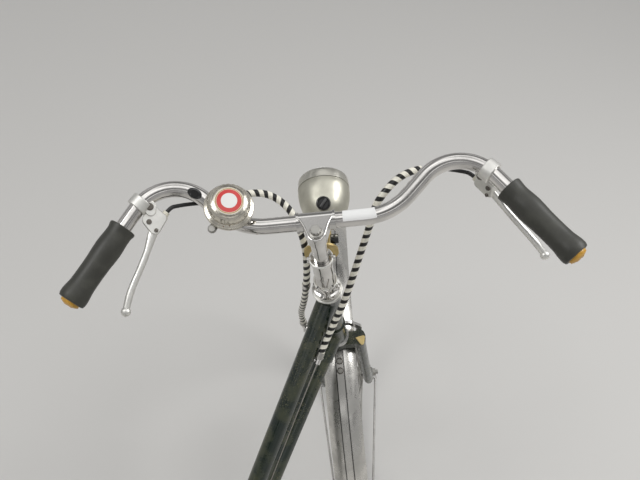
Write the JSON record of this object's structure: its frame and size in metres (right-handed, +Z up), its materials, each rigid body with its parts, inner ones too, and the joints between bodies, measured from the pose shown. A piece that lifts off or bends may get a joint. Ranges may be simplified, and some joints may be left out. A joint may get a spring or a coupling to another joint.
{
  "type": "step-through bicycle",
  "caption": "Step-through roadster bicycle with upright bars, mudguards, chain guard and centre stand, parked with its steering turned left.",
  "frame": {"origin": "on the floor, below the middle of the box round the whole bicycle; the frame's middle plane is at Y = 28.0 mm, because the steering is parked to the left, and the bottom bracket is at X = -61.7 mm", "axes": "+X forward, +Y to the rider's left, +Z up"},
  "size_m": [1.7351, 0.581, 1.087],
  "materials": {
    "dark_green_paint": "glossy, scuffed through to tan",
    "chrome_plate": "polished, lightly pitted",
    "satin_aluminium": "satin, lightly scratched",
    "zinc": "dull zinc plate",
    "yellow_zinc": "yellow passivated zinc",
    "dark_steel": "oiled steel",
    "tyre_rubber": "worn black rubber",
    "grip_rubber": "matte dark grey",
    "amber_plastic": "ribbed amber",
    "black_plastic": "satin black",
    "red_plastic": "clear red",
    "lamp_glass": "fluted clear glass",
    "saddle_vinyl": "black stitched cover",
    "striped_housing": "cream and black spiral stripes"
  },
  "bodies": {
    "frame_body": {"frame": "dark_green_paint", "rear_stays": "dark_green_paint", "headset_cups": "chrome_plate", "bottom_bracket_cups": "chrome_plate", "rear_axle": "zinc", "seat_post": "chrome_plate", "saddle_frame": "dark_steel", "saddle_cover": "saddle_vinyl", "rear_mudguard": "satin_aluminium", "rear_mudguard_stays": "chrome_plate", "chain": "dark_steel", "chain_guard": "dark_green_paint", "rear_caliper": "chrome_plate", "rear_brake_pads": "grip_rubber", "rear_brake_cable": "striped_housing", "rear_brake_wire": "chrome_plate", "rear_brake_tail": "striped_housing", "cable_stops": "chrome_plate", "stand_bracket": "zinc", "rear_reflector": "red_plastic"},
    "steering": {"fork": "dark_green_paint", "headset_stack": "chrome_plate", "stem": "chrome_plate", "handlebar": "chrome_plate", "grip_left": "grip_rubber", "grip_right": "grip_rubber", "grip_plugs": "amber_plastic", "lever_clamp_left": "satin_aluminium", "lever_clamp_right": "satin_aluminium", "lever_left": "satin_aluminium", "lever_right": "satin_aluminium", "bell_base": "chrome_plate", "bell_dome": "chrome_plate", "headlamp_shell": "satin_aluminium", "headlamp_rim": "chrome_plate", "headlamp_lens": "lamp_glass", "headlamp_switch": "black_plastic", "headlamp_bracket": "yellow_zinc", "front_caliper": "chrome_plate", "front_brake_pads": "grip_rubber", "front_brake_cable": "striped_housing", "front_mudguard": "satin_aluminium", "front_mudguard_stays": "chrome_plate", "front_axle": "zinc"},
    "front_wheel": {"front_tyre": "tyre_rubber", "front_rim": "chrome_plate", "front_hub": "zinc"},
    "rear_wheel": {"rear_tyre": "tyre_rubber", "rear_rim": "chrome_plate", "rear_hub": "zinc"},
    "cranks": {"crank_axle": "chrome_plate", "chainring": "chrome_plate", "crank_left": "chrome_plate", "crank_right": "chrome_plate"},
    "freewheel": {"sprocket": "dark_steel"},
    "left_pedal": {"pedal_left": "chrome_plate", "pedal_rubbers_left": "grip_rubber"},
    "right_pedal": {"pedal_right": "chrome_plate", "pedal_rubbers_right": "grip_rubber"},
    "parking_stand": {"stand": "zinc"}
  },
  "joints": [
    {"name": "steering_turn", "type": "hinge", "parent": "frame_body", "child": "steering", "pos_m": [0.26935, 0.02803, 0.98275], "axis": [-0.3584, 0, 0.9336], "range_deg": [-75.4, 14.6], "deforming": ["rear_brake_cable"]},
    {"name": "front_wheel_spin", "type": "hinge", "parent": "steering", "child": "front_wheel", "pos_m": [0.57903, 0.05829, 0.31991], "axis": [0.4724, -0.8625, 0.1813], "continuous": true},
    {"name": "rear_wheel_spin", "type": "hinge", "parent": "frame_body", "child": "rear_wheel", "pos_m": [-0.50898, 0.02803, 0.334], "axis": [0, 1, 0], "continuous": true},
    {"name": "crank_spin", "type": "hinge", "parent": "frame_body", "child": "cranks", "pos_m": [-0.06166, 0.02803, 0.285], "axis": [0, 1, 0], "continuous": true},
    {"name": "freewheel_spin", "type": "hinge", "parent": "frame_body", "child": "freewheel", "pos_m": [-0.50898, 0.02803, 0.334], "axis": [0, 1, 0], "continuous": true},
    {"name": "left_pedal_spin", "type": "hinge", "parent": "cranks", "child": "left_pedal", "pos_m": [-0.20582, 0.10803, 0.37509], "axis": [0, 1, 0], "continuous": true},
    {"name": "right_pedal_spin", "type": "hinge", "parent": "cranks", "child": "right_pedal", "pos_m": [0.08251, -0.05197, 0.19491], "axis": [0, 1, 0], "continuous": true},
    {"name": "stand_fold", "type": "hinge", "parent": "frame_body", "child": "parking_stand", "pos_m": [-0.13967, 0.02803, 0.267], "axis": [0, 1, 0], "range_deg": [0, 80]}
  ],
  "couplings": [
    {"joint": "freewheel_spin", "follows": "crank_spin", "ratio": 2.4444}
  ]
}
